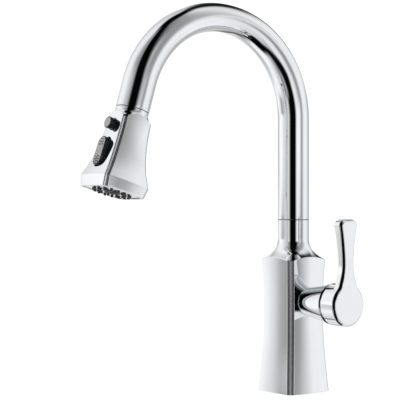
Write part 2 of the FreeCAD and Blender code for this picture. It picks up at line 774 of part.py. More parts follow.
PIECES = {
    "body_shell": body_shell,
    "base_gasket": base_gasket,
    "mounting_shank": mounting_shank,
    "waterway_block": waterway_block,
    "spout_slip_ring": spout_slip_ring,
    "spout_retaining_screw": spout_retaining_screw,
    "valve_housing": valve_housing,
    "cartridge_gasket": cartridge_gasket,
    "cartridge_body": cartridge_body,
    "ceramic_disc_fixed": ceramic_disc_fixed,
    "ceramic_disc_moving": ceramic_disc_moving,
    "cartridge_spindle": cartridge_spindle,
    "pivot_pin": pivot_pin,
    "lever_stem": lever_stem,
    "cartridge_nut": cartridge_nut,
    "bonnet": bonnet,
    "handle_lever": handle_lever,
    "handle_set_screw": handle_set_screw,
    "screw_plug": screw_plug,
    "spout_tube": spout_tube,
    "spout_stub": spout_stub,
    "swivel_bush_upper": lambda: swivel_bush(-13.9),
    "swivel_bush_lower": lambda: swivel_bush(-31.9),
    "swivel_o_rings": swivel_o_rings,
    "dock_collar": dock_collar,
    "dock_magnet": dock_magnet,
    "spray_hose": spray_hose,
    "hose_connector": hose_connector,
    "hose_tail": hose_tail,
    "hose_ferrule": hose_ferrule,
    "hose_fitting": hose_fitting,
    "head_shell": head_shell,
    "spray_core": spray_core,
    "dock_ring": dock_ring,
    "swivel_nut": swivel_nut,
    "inlet_washer": inlet_washer,
    "rocker_frame": rocker_frame,
    "rocker_pin": rocker_pin,
    "rocker": rocker,
    "rocker_icons": rocker_icons,
    "diverter_paddle": diverter_paddle,
    "pause_button": pause_button,
    "pause_stem": pause_stem,
    "pause_spring": pause_spring,
    "spray_face": spray_face,
    "nozzle_mat": nozzle_mat,
    "aerator": aerator,
    "face_gasket": face_gasket,
    "deck_gasket": deck_gasket,
    "clamp_washer": clamp_washer,
    "mounting_nut": mounting_nut,
    "clamp_screws": clamp_screws,
}


def main():
    os.makedirs("parts", exist_ok=True)
    for name, make in PIECES.items():
        shape = make()
        shape.exportStep("parts/" + name + ".step")
        print(name, len(shape.Solids), "solids", round(shape.Volume, 1), "mm3", shape.isValid())


main()
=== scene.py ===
import json
import math
from functools import lru_cache

import bmesh
import bpy
import numpy as np
from mathutils import Matrix, Vector


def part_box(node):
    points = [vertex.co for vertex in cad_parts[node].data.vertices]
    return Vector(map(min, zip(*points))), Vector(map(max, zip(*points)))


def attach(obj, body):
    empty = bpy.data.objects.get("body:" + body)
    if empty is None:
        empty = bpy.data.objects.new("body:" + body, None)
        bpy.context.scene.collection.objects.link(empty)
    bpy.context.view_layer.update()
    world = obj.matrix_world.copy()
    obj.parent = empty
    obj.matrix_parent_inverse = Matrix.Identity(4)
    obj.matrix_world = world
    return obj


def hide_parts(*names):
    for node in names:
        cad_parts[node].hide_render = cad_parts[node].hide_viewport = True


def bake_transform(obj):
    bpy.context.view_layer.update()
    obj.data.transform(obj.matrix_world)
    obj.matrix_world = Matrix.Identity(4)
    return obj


# Pull down kitchen faucet, chrome. Shapes are worked out in millimetres and put down in metres.

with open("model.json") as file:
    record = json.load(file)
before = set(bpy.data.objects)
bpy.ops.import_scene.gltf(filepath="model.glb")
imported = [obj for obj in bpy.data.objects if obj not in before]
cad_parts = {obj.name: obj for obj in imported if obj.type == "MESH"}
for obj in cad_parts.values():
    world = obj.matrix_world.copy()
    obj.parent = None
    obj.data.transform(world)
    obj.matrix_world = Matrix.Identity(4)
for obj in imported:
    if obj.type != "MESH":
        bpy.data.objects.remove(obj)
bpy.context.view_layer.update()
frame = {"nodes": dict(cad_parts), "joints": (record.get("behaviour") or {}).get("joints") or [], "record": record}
MM = 0.001


def joint(name):
    return next(j for j in frame["joints"] if j["name"] == name)


def cad_low(node):
    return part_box(node)[0] / MM


def cad_high(node):
    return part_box(node)[1] / MM


# ---- places read from the frame ----

TUBE_R = cad_high("spout_tube").x
TUBE_BASE = cad_low("spout_tube").z
NECK_TOP = cad_high("body_shell").z
VALVE_Z = joint("handle_lift")["pos_m"][2] / MM
PIVOT_X = joint("handle_lift")["pos_m"][0] / MM
HOUSING_END = cad_high("valve_housing").x
LEVER_FACE_X = cad_high("handle_lever").x - 0.5
LEVER_TOP = cad_high("handle_lever").z - VALVE_Z
HUB_R = VALVE_Z - cad_low("handle_lever").z
HUB_X = cad_low("handle_lever").x
OUTLET = Vector(joint("head_swivel")["pos_m"]) / MM
HEAD_UP = Vector(joint("head_swivel")["axis"]).normalized()
TILT = math.atan2(HEAD_UP.y, HEAD_UP.z)
SHANK_LOW = cad_low("mounting_shank").z

# ---- shape of the tower: sides as (height, half width), the rest as (radius, height) ----

TOWER_SIDES = [(0, 27.8), (30, 25.5), (61, 23.9), (86, 23.5), (110, 24.0), (134, 25.3), (180, 29.5)]
TOWER_CUT = 4.95
TOWER_BULGE = 1.5
TOWER_COVE = [(38.0, 131.5), (26.1, 137.4), (19.2, 143.6), (TUBE_R, 154.9)]
SHOULDER_Z = 133
GASKET_GROOVE = [(24.6, 0), (24.6, 2.4), (20.8, 2.4), (20.8, 0)]
CAVITY_R = 19.2
CAVITY_TOP = 112.0
NECK_BORE = 13.9
SPOT_X = 23.3
SPOT_R = 14.0
SPOT_SPAN = (75.4, 108.6)
LOCK_DOWN = 3.6
LOCK_R = 2.0

# The small round on an outer edge.
EDGE = 0.35

# ---- shape of the gooseneck ----

TUBE_WALL = 1.6
BEND_Z = 276.6
BEND_R = 95.9
BEND_SWEEP = math.pi - TILT
OUTLET_RUN = 27.0
BEND_FLATTEN = 0.14

# ---- shape of the valve and lever, about the valve's axis; the housing as (radius, x) ----

HOUSING_ROOT_R = 13.8
HOUSING_R = 20.5
HOUSING_SPIGOT = [(0, 15), (10.9, 15), (10.9, SPOT_X)]
HOUSING_BORE = [(16.5, HOUSING_END), (16.5, 50), (12.6, 50), (12.6, 31), (0, 31)]
LIFT_CLEAR_R = 25.2
HUB_BORE = 18.2

# The lever's plate: its back and face as (height, x), its half width as (half, height).
PLATE_BACK_X = 75.4
PLATE_BACK = [(16, PLATE_BACK_X), (34, 75.7), (60, 75.0), (90, 73.8)]
PLATE_FACE = [(-30, LEVER_FACE_X), (10, LEVER_FACE_X), (50, LEVER_FACE_X), (90, LEVER_FACE_X + 0.6)]
LEVER_HALF = [(13.6, 15.8), (10.9, 21.5), (8.6, 29), (7.45, 40), (8.2, 54), (10, 68), (11.6, 77)]
LEVER_SPINE = LEVER_TOP - 9
LEVER_MOUTH = [(HUB_R - 0.1, HUB_X + 0.1), (HUB_R - EDGE, HUB_X), (HUB_BORE + 0.2, HUB_X),
               (HUB_BORE, HUB_X + 0.2), (HUB_BORE, 75.5), (7.5, 75.5), (7.5, 68), (3.1, 68)]
# Where the hub's circle meets the grip.
HUB_ANGLE = math.atan2(LEVER_HALF[0][1], LEVER_HALF[0][0])
# The plate's back edge is a small round. Its front edge is a wide cut: 1 would make it a round, 2 flat.
LEVER_SOFT = 0.7
LEVER_NOSE = 2.7
NOSE_CUT = 1.6

# ---- shape of the spray head, measured up from its joint with the spout ----

HEAD_SIDES = [(-69.7, 24.6), (-55, 20.4), (-40, 17.9), (-25, 16.5), (-9, 16.0), (0, 16.1)]
HEAD_COVE = [(26.0, -13.0), (20.0, -9.6), (17.4, -6.6), (TUBE_R - 0.2, -2.6)]
HEAD_CUT = 3.4
RIM_TOP = -69.7
RIM_BOTTOM = -80.0
RIM_HALF = 22.8
RIM_LEVELS = [RIM_BOTTOM + EDGE, RIM_BOTTOM + 2, -77, -74, -71.5]
RIM_LEVELS += [RIM_TOP - EDGE, RIM_TOP - 0.1, RIM_TOP + 0.1]
# Inside, the walls stand in by this much, and the corners are cut this much less.
HEAD_WALL = 2.0
CUT_LESS = 0.8
HEAD_SHOULDER = -5.0
HEAD_TOP = -0.4
SLOT_SPAN = (-63.5, -30.0)
BUTTON_SPAN = (-25.6, -12.2)
CORE_R = 13.5
PAUSE_Z = -19.0
PAUSE_R = 5.5
PAUSE_OUT = 22.8
ROCKER_Z = -47.1
ROCKER_OUT = 24.1
ROCKER_HALF_W = 6.5
ROCKER_HALF_L = 14.2
ROCKER_PIVOT = 14.6
ROCKER_TILT = math.radians(3)
ROCKER_BACK = 15.2
# Room round the rocker and the button.
GAP = 0.4
SPRING_R = 4.3
SPRING_SPAN = (-15.6, -9.6)
SPRING_TURNS = 5
SPRING_WIRE = 0.3
HOSE_R = 5.0
HOSE_BORE = 3.0

# ---- shape of the stud below the deck ----

THREAD_PITCH = 1.5
THREAD_DEPTH = 0.85
THREAD_CREST = 16.8
THREAD_TOP = -30.0
STUD = [(17, THREAD_TOP), (17, 0), (19.1, 0), (19.1, 12), (15.2, 12), (15.2, -30), (15.2, SHANK_LOW)]


# ---- materials ----

def nodes_of(name):
    """A new material, with its node tree and its shader."""
    material = bpy.data.materials.new(name)
    material.use_nodes = True
    tree = material.node_tree
    return material, tree, tree.nodes["Principled BSDF"]


def add_noise(tree, scale, detail, stretch=(1, 1, 1)):
    """Noise over the piece's own coordinates, drawn out along an axis if stretch says so."""
    place = tree.nodes.new("ShaderNodeTexCoord")
    mapping = tree.nodes.new("ShaderNodeMapping")
    mapping.inputs["Scale"].default_value = stretch
    texture = tree.nodes.new("ShaderNodeTexNoise")
    texture.inputs["Scale"].default_value = scale
    texture.inputs["Detail"].default_value = detail
    tree.links.new(place.outputs["Object"], mapping.inputs["Vector"])
    tree.links.new(mapping.outputs["Vector"], texture.inputs["Vector"])
    return texture.outputs["Fac"]


def spread(tree, value, low, high):
    """The value, about 0.3 to 0.7 from a noise, spread to run from low to high."""
    node = tree.nodes.new("ShaderNodeMapRange")
    node.inputs["From Min"].default_value = 0.3
    node.inputs["From Max"].default_value = 0.7
    node.inputs["To Min"].default_value = low
    node.inputs["To Max"].default_value = high
    tree.links.new(value, node.inputs["Value"])
    return node.outputs["Result"]


def feed(tree, sockets, values):
    """Gives each socket its value, or a link where the value is another node's output."""
    for socket, value in zip(sockets, values):
        if isinstance(value, bpy.types.NodeSocket):
            tree.links.new(value, socket)
        else:
            socket.default_value = value


def maths(tree, kind, *values):
    node = tree.nodes.new("ShaderNodeMath")
    node.operation = kind
    feed(tree, node.inputs, values)
    return node.outputs["Value"]


def mixed(tree, share, a, b):
    """The colour share of the way from a to b."""
    node = tree.nodes.new("ShaderNodeMix")
    node.data_type = "RGBA"
    feed(tree, (node.inputs[0], node.inputs[6], node.inputs[7]), (share, a, b))
    return node.outputs[2]


def tint(tree, value, dark, light):
    return mixed(tree, value, (*dark, 1), (*light, 1))


def raise_by(tree, shader, value, strength, distance):
    """Relief from a value, by bump."""
    bump = tree.nodes.new("ShaderNodeBump")
    bump.inputs["Strength"].default_value = strength
    bump.inputs["Distance"].default_value = distance
    tree.links.new(value, bump.inputs["Height"])
    tree.links.new(bump.outputs["Normal"], shader.inputs["Normal"])


def finish_material(name, dark, light, rough, metallic=0.0, scale=400, bump=0.1, stretch=(1, 1, 1)):
    """A material whose colour, gloss and fine relief all vary a little over the surface."""
    material, tree, shader = nodes_of(name)
    shader.inputs["Metallic"].default_value = metallic
    broad = add_noise(tree, scale / 12, 3, stretch)
    fine = add_noise(tree, scale, 5, stretch)
    tree.links.new(tint(tree, spread(tree, broad, 0, 1), dark, light), shader.inputs["Base Color"])
    tree.links.new(spread(tree, fine, rough[0], rough[1]), shader.inputs["Roughness"])
    raise_by(tree, shader, fine, bump, 0.0001)
    return material


STRANDS = 12
STRAND_RISE = 0.0035


def braid_material():
    """Woven nylon: two sets of strands that cross, darker and lighter by the weave."""
    material, tree, shader = nodes_of("hose_braid")
    place = tree.nodes.new("ShaderNodeTexCoord")
    around = tree.nodes.new("ShaderNodeSeparateXYZ")
    along = tree.nodes.new("ShaderNodeSeparateXYZ")
    tree.links.new(place.outputs["UV"], around.inputs["Vector"])
    tree.links.new(place.outputs["Object"], along.inputs["Vector"])
    turn = maths(tree, "MULTIPLY", around.outputs["X"], 2 * math.pi * STRANDS)
    rise = maths(tree, "MULTIPLY", along.outputs["Z"], 2 * math.pi / STRAND_RISE)
    left = maths(tree, "SINE", maths(tree, "ADD", turn, rise))
    right = maths(tree, "SINE", maths(tree, "SUBTRACT", turn, rise))
    weave = maths(tree, "MULTIPLY_ADD", maths(tree, "MULTIPLY", left, right), 0.5, 0.5)
    tree.links.new(tint(tree, weave, (0.02, 0.02, 0.022), (0.16, 0.16, 0.17)), shader.inputs["Base Color"])
    tree.links.new(spread(tree, weave, 0.45, 0.65), shader.inputs["Roughness"])
    raise_by(tree, shader, weave, 0.7, 0.0004)
    return material


def chrome_material(name, scale):
    """Mirror plate: faint buffing streaks in the gloss, and almost no relief."""
    material, tree, shader = nodes_of(name)
    shader.inputs["Metallic"].default_value = 1.0
    streaks = add_noise(tree, scale, 4, (1, 1, 0.12))
    haze = add_noise(tree, 35, 3)
    colour = tint(tree, spread(tree, haze, 0, 1), (0.915, 0.94, 0.965), (0.945, 0.965, 0.985))
    tree.links.new(colour, shader.inputs["Base Color"])
    tree.links.new(spread(tree, streaks, 0.018, 0.05), shader.inputs["Roughness"])
    raise_by(tree, shader, haze, 0.015, 0.0002)
    return material


# name: dark and light colour, roughness from and to, metallic, scale, relief, stretch
FINISHES = {
    "raw_brass": ((0.60, 0.42, 0.17), (0.74, 0.55, 0.26), (0.2, 0.42), 1.0, 900, 0.3, (1, 1, 6)),
    "zinc_steel": ((0.46, 0.48, 0.50), (0.66, 0.67, 0.66), (0.25, 0.5), 1.0, 500, 0.25),
    "stainless": ((0.52, 0.53, 0.54), (0.64, 0.64, 0.64), (0.2, 0.38), 1.0, 1200, 0.2, (1, 1, 5)),
    "magnet": ((0.30, 0.30, 0.32), (0.42, 0.42, 0.44), (0.22, 0.4), 1.0, 600, 0.15),
    "black_rubber": ((0.012, 0.012, 0.013), (0.03, 0.03, 0.03), (0.55, 0.8), 0.0, 1500, 0.5),
    "grey_silicone": ((0.010, 0.010, 0.011), (0.022, 0.022, 0.024), (0.32, 0.5), 0.0, 900, 0.25),
    "black_plastic": ((0.010, 0.010, 0.011), (0.024, 0.024, 0.026), (0.3, 0.5), 0.0, 1600, 0.3),
    "grey_plastic": ((0.30, 0.31, 0.32), (0.38, 0.39, 0.40), (0.38, 0.55), 0.0, 1400, 0.25),
    "button_face": ((0.44, 0.44, 0.45), (0.56, 0.56, 0.57), (0.32, 0.5), 0.35, 1800, 0.45),
    "button_side": ((0.018, 0.018, 0.02), (0.04, 0.04, 0.042), (0.12, 0.25), 0.5, 900, 0.1),
    "icon_black": ((0.006, 0.006, 0.006), (0.016, 0.016, 0.016), (0.4, 0.6), 0.0, 2000, 0.3),
    "white_nylon": ((0.70, 0.69, 0.66), (0.80, 0.80, 0.77), (0.35, 0.55), 0.0, 800, 0.2),
    "face_plate": ((0.80, 0.81, 0.82), (0.88, 0.88, 0.89), (0.12, 0.25), 0.0, 900, 0.1),
    "ceramic": ((0.78, 0.76, 0.70), (0.88, 0.87, 0.83), (0.12, 0.25), 0.0, 1200, 0.1),
}
STREAKS = {"chrome": 900, "handle_chrome": 1100, "spout_chrome": 700, "head_chrome": 1000}
MATERIALS = {name: chrome_material(name, scale) for name, scale in STREAKS.items()}
MATERIALS |= {name: finish_material(name, *values) for name, values in FINISHES.items()}
MATERIALS["hose_braid"] = braid_material()
MATERIALS["button_grey"] = MATERIALS["button_face"]


def facet(name, shade, rough, metallic=1.0):
    """Satin finish of the cut corners, brushed along them, in a set tone: a darker one paints their shade, a
    lighter one paints a highlight.
    """
    light = tuple(shade + more for more in (0.06, 0.06, 0.09))
    dark = (shade, shade, shade + 0.03)
    return finish_material(
        name, dark, light, (rough - 0.04, rough + 0.04), metallic, 200, 0.01, (1, 1, 0.02))


# The tower's cut corners: a darker tone paints their shade, and a lighter line paints a highlight up them.
PAINTED_FACETS = [facet("facet_painted_shade", 0.62, 0.42), facet("facet_line", 0.9, 0.6)]
# The head's cut corners: a darker tone paints their shade, and a lighter, non-metallic line paints a highlight up
# them.
HEAD_PAINTED_FACETS = [facet("head_facet_painted_shade", 0.46, 0.4), facet("head_facet_line", 0.72, 0.4, 0.0)]


def dress_cad_nodes():
    """Every node carried over from CAD takes the material of its slot in the record."""
    for part in frame["record"]["subparts"]:
        data = frame["nodes"][part["node"]].data
        data.materials.clear()
        data.materials.append(MATERIALS[part["material_slot"]])


# ---- curves ----

NEARLY_STRAIGHT = 0.12


def spline(marks, values, first=None, last=None):
    """A smooth curve with these values at these marks, and a slope at each end if given."""
    p = np.array(values, float)
    steps = np.diff(marks)
    n = len(p)
    rows = np.zeros((n, n))
    right = np.zeros_like(p)
    for k in range(1, n - 1):
        rows[k, k - 1 : k + 2] = [1 / steps[k - 1], 2 / steps[k - 1] + 2 / steps[k], 1 / steps[k]]
        right[k] = 3 * ((p[k] - p[k - 1]) / steps[k - 1] ** 2 + (p[k + 1] - p[k]) / steps[k] ** 2)
    for k, near, given in ((0, 1, first), (n - 1, n - 2, last)):
        rows[k, k] = 1 if given else 2
        rows[k, near] = 0 if given else 1
        low, high = min(k, near), max(k, near)
        away = np.array(given, float) / np.linalg.norm(given) if given else None
        right[k] = away if given else 3 * (p[high] - p[low]) / steps[low]
    slopes = np.linalg.solve(rows, right)

    def at(mark):
        k = min(max(int(np.searchsorted(marks, mark, side="right")) - 1, 0), n - 2)
        h = steps[k]
        x = (mark - marks[k]) / h
        return (
            (2 * x**3 - 3 * x**2 + 1) * p[k] + (x**3 - 2 * x**2 + x) * h * slopes[k]
            + (3 * x**2 - 2 * x**3) * p[k + 1] + (x**3 - x**2) * h * slopes[k + 1]
        )

    return at


def through(points, first=None, last=None):
    """A smooth curve through points, from 0 to 1 along it, with a direction at each end if given."""
    lengths = np.linalg.norm(np.diff(np.array(points, float), axis=0), axis=1)
    marks = np.concatenate([[0], np.cumsum(lengths)])
    curve = spline(marks, points, first, last)
    return lambda share: curve(min(max(share, 0.0), 1.0) * marks[-1])


def height_curve(points):
    """Half width as a smooth function of height."""
    return spline(*zip(*points))


def softened(a, corner, b, count):
    """Points of the small round from a to b that replaces a sharp corner, ends left out."""
    a, corner, b = Vector(a), Vector(corner), Vector(b)
    shares = [k / (count + 1) for k in range(1, count + 1)]
    return [a * (1 - s) ** 2 + corner * (2 * s * (1 - s)) + b * s**2 for s in shares]


def eased(profile, size):
    """A profile of straight runs with each corner between its ends rounded off by size."""
    points = [Vector(p) for p in profile]
    out = [points[0]]
    for last, corner, following in zip(points, points[1:], points[2:]):
        before, after = last - corner, following - corner
        if before.angle(-after) < NEARLY_STRAIGHT:
            out.append(corner)
            continue
        a = corner + before.normalized() * min(size, before.length * 0.4)
        b = corner + after.normalized() * min(size, after.length * 0.4)
        out += [a] + softened(a, corner, b, 2) + [b]
    return out + [points[-1]]


def ring(radius, height, count):
    """Points round a circle about Z."""
    angles = [2 * math.pi * k / count for k in range(count)]
    return [(radius * math.cos(a), radius * math.sin(a), height) for a in angles]


# ---- meshes ----

SHARP = math.radians(38)


class Skin:
    """Points in rows, and the faces between the rows."""

    def __init__(self):
        self.points = []
        self.faces = []
        self.marks = []

    def row(self, points):
        start = len(self.points)
        self.points += [tuple(p) for p in points]
        return list(range(start, len(self.points)))

    def face(self, corners, mark=0):
        self.faces.append(tuple(corners))
        self.marks.append(mark)

    def join(self, a, b, closed=True, mark=0):
        count = len(a)
        for k in range(count if closed else count - 1):
            n = (k + 1) % count
            self.face((a[k], a[n], b[n], b[k]), mark)

    def stack(self, rows, closed=True, mark=0):
        for a, b in zip(rows, rows[1:]):
            self.join(a, b, closed, mark)

    def fan(self, row, centre, mark=0):
        middle = self.row([centre])[0]
        for k in range(len(row)):
            self.face((row[k], row[(k + 1) % len(row)], middle), mark)


def put(skin, name, body, slot, replaced, materials=None, place=None, weld=0.0004):
    """Makes the piece: welds doubled points, turns faces outward and shades it smooth."""
    mesh = bpy.data.meshes.new(name)
    mesh.from_pydata([Vector(p) * MM for p in skin.points], [], skin.faces)
    for material in materials or [MATERIALS[slot]]:
        mesh.materials.append(material)
    mesh.polygons.foreach_set("material_index", skin.marks)
    if place is not None:
        mesh.transform(place)
    tidy(mesh, weld * MM)
    piece = bpy.data.objects.new(name, mesh)
    bpy.context.scene.collection.objects.link(piece)
    weights = piece.modifiers.new("weights", "WEIGHTED_NORMAL")
    weights.mode = "FACE_AREA"
    weights.keep_sharp = True
    if body is not None:
        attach(piece, body)
    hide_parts(*replaced)
    return piece


def tidy(mesh, distance):
    """Welds points nearer than distance, and keeps edges that turn sharply from being smoothed."""
    work = bmesh.new()
    work.from_mesh(mesh)
    bmesh.ops.remove_doubles(work, verts=work.verts, dist=distance)
    bmesh.ops.recalc_face_normals(work, faces=work.faces)
    for face in work.faces:
        face.smooth = True
    for edge in work.edges:
        if len(edge.link_faces) == 2 and edge.calc_face_angle(0) > SHARP:
            edge.smooth = False
    work.to_mesh(mesh)
    work.free()


def turned(skin, profile, count, mark=0):
    """A profile of (radius, height) turned about Z."""
    skin.stack([skin.row(ring(radius, height, count)) for radius, height in profile], mark=mark)


HEAD_PLACE = Matrix.Translation(OUTLET * MM) @ Matrix.Rotation(-TILT, 4, "X")
VALVE_PLACE = Matrix.Translation(Vector((0, 0, VALVE_Z)) * MM)
ABOUT_X = Matrix.Rotation(math.pi / 2, 4, "Y")


# ---- square shells with cut corners and a hollow shoulder ----

# Points along a side, along a cut corner, and in a quarter of the outline with its softened edges.
PER_SIDE = 29
PER_CUT = 7
QUARTER = PER_SIDE + PER_CUT + 4


def bowed(half, cut, bulge, u):
    """Distance from the axis to a bowed side, u along it from its middle."""
    reach = half - cut
    bow = (reach**2 + bulge**2) / (2 * bulge)
    return half + bulge - bow + math.sqrt(bow**2 - u**2)


def square(half, cut, bulge):
    """Points round a square with bowed sides, cut corners and softened edges, from the +X side."""
    reach = half - cut
    places = [(2 * k / (PER_SIDE - 1) - 1) * (reach - EDGE) for k in range(PER_SIDE)]
    side = [Vector((bowed(half, cut, bulge, u), u)) for u in places]
    first, second = Vector((half, reach)), Vector((reach, half))
    run = (second - first).normalized() * EDGE
    start, end = first + run, second - run
    flat = [start.lerp(end, k / (PER_CUT - 1)) for k in range(PER_CUT)]
    quarter = side + softened(side[-1], first, flat[0], 2)
    quarter += flat + softened(flat[-1], second, side[-1].yx, 2)
    out = []
    for c, s in ((1, 0), (0, 1), (-1, 0), (0, -1)):
        out += [Vector((p.x * c - p.y * s, p.x * s + p.y * c)) for p in quarter]
    return out


def shoulder(outline_at, cove):
    """For each column, how far along the cove it leaves the sides, and the point there."""
    count = len(outline_at(0))
    low = np.zeros(count)
    high = np.ones(count)
    for _ in range(26):
        middle = (low + high) / 2
        for k in range(count):
            radius, height = cove(middle[k])
            inside = column(outline_at, height, k).length < radius
            low[k], high[k] = (middle[k], high[k]) if inside else (low[k], middle[k])
    return (low + high) / 2


def column(outline_at, height, k):
    """One point of the outline at a height. Heights are rounded so that outlines can be reused."""
    return outline_at(round(height, 4))[k]


def lift(points, height):
    return [(p.x, p.y, height) for p in points]


def shell_rows(outline_at, cove, heights, cove_rows):
    """Rows from the lowest height up the sides, over the softened shoulder and up the cove.

    heights run up to the shoulder; the last of them follow its scalloped line."""
    leave = shoulder(outline_at, cove)
    count = len(leave)
    edges = [cove(s) for s in leave]
    corners = []
    for k in range(count):
        flat = column(outline_at, edges[k][1], k)
        corners.append(Vector((flat.x, flat.y, edges[k][1])))
    base, top = heights[0], heights[-1]
    bend_from = base + (top - base) * 0.55
    rows = []
    for z in heights:
        row = []
        for k in range(count):
            goal = corners[k].z - EDGE * 1.4
            share = max(0.0, (z - bend_from) / (top - bend_from))
            height = z + (goal - top) * share**2 * (3 - 2 * share)
            flat = column(outline_at, height, k)
            row.append(Vector((flat.x, flat.y, height)))
        rows.append(row)
    after = []
    for step in range(cove_rows):
        row = []
        for k in range(count):
            start = leave[k] + 0.02
            radius, height = cove(start + (1 - start) * step / (cove_rows - 1))
            angle = math.atan2(corners[k].y, corners[k].x)
            row.append(Vector((radius * math.cos(angle), radius * math.sin(angle), height)))
        after.append(row)
    soft = [softened(rows[-1][k], corners[k], after[0][k], 3) for k in range(count)]
    return rows + [[soft[k][i] for k in range(count)] for i in range(3)] + after


def levels(*spans):
    """Heights from (low, high, steps) spans that follow on from each other."""
    out = [spans[0][0]]
    for low, high, steps in spans:
        out += [low + (high - low) * (k + 1) / steps for k in range(steps)]
    return out


def grid_faces(skin, grid, holes, facets=(0, 0), line=(2, 3)):
    """Faces between rows, apart from the blocks of cells that holes take: (row, row, col, col).

    Between the two rows named by facets the cut corners are satin in a painted shade, with a painted highlight
    line up them in the highlight cells."""
    count = len(grid[0])
    for r in range(len(grid) - 1):
        for c in range(count):
            if any(r0 <= r < r1 and (c - c0) % count < (c1 - c0) for r0, r1, c0, c1 in holes):
                continue
            n = (c + 1) % count
            across = c % QUARTER - PER_SIDE - 2
            cut = 0 <= across < PER_CUT - 1 and facets[0] <= r < facets[1]
            # cut-corner cells take painted shade (1), and the highlight cells a painted highlight line (2)
            mark = (2 if across in line else 1) if cut else 0
            skin.face((grid[r][c], grid[r][n], grid[r + 1][n], grid[r + 1][c]), mark)


def block_loop(grid, block):
    """The points round a block of cells, in order."""
    r0, r1, c0, c1 = block
    cells = [(r0, c) for c in range(c0, c1)] + [(r, c1) for r in range(r0, r1)]
    cells += [(r1, c) for c in range(c1, c0, -1)] + [(r, c0) for r in range(r1, r0, -1)]
    return [grid[r][c % len(grid[0])] for r, c in cells]


def hole_rings(skin, loop, to_flat, surface, centre, reach, inward, rings=7, soft=0.3):
    """Rings that draw a block's edge in to a hole's softened rim. reach gives the hole's radius."""
    flats = [Vector(to_flat(skin.points[i])) for i in loop]
    middle = Vector(centre)
    rim = []
    for flat in flats:
        ray = (flat - middle).normalized()
        rim.append((middle + ray * reach(ray), ray))
    rows = [loop]
    for k in range(1, rings + 1):
        share = (k / rings) ** 0.8
        row = []
        for flat, (edge, ray) in zip(flats, rim):
            row.append(surface(flat.lerp(edge + ray * soft, share)))
        rows.append(skin.row(row))
    for turn in (30, 60, 90):
        out = soft * (1 - math.sin(math.radians(turn)))
        depth = soft * (1 - math.cos(math.radians(turn)))
        row = [Vector(surface(edge + ray * out)) + Vector(inward) * depth for edge, ray in rim]
        rows.append(skin.row(row))
    skin.stack(rows)
    return rows[-1]


def round_reach(radius):
    return lambda ray: radius


def slot_reach(half_width, half_length):
    """Distance from the middle of an upright slot with round ends to its edge, along a ray."""
    straight = half_length - half_width

    def reach(ray):
        across, up = abs(ray.x), abs(ray.y)
        if across > 1e-6 and half_width / across * up <= straight:
            return half_width / across
        inner = up * straight
        return inner + math.sqrt(inner**2 - straight**2 + half_width**2)

    return reach


def middle_block(side, share):
    """The first and last column of a block about the middle of one of the four sides."""
    middle = side * QUARTER + (PER_SIDE - 1) // 2
    half = round((PER_SIDE - 1) / 2 * share)
    return middle - half, middle + half


def ring_row(skin, template, radius, height):
    """A round row whose points stand at the same angles as the template's."""
    row = []
    for p in template:
        angle = math.atan2(p.y, p.x)
        row.append((radius * math.cos(angle), radius * math.sin(angle), height))
    return skin.row(row)


def hole_through(skin, ends, centre, reach, rings, soft):
    """A hole along Y from surface to surface. Each end is its grid, block, surface and way in."""
    rims = []
    for grid, block, surface, way in ends:
        rims.append(hole_rings(
            skin, block_loop(grid, block), lambda p: (p[0], p[2]), surface, centre, reach, (0, way, 0),
            rings, soft,
        ))
    skin.join(*rims)


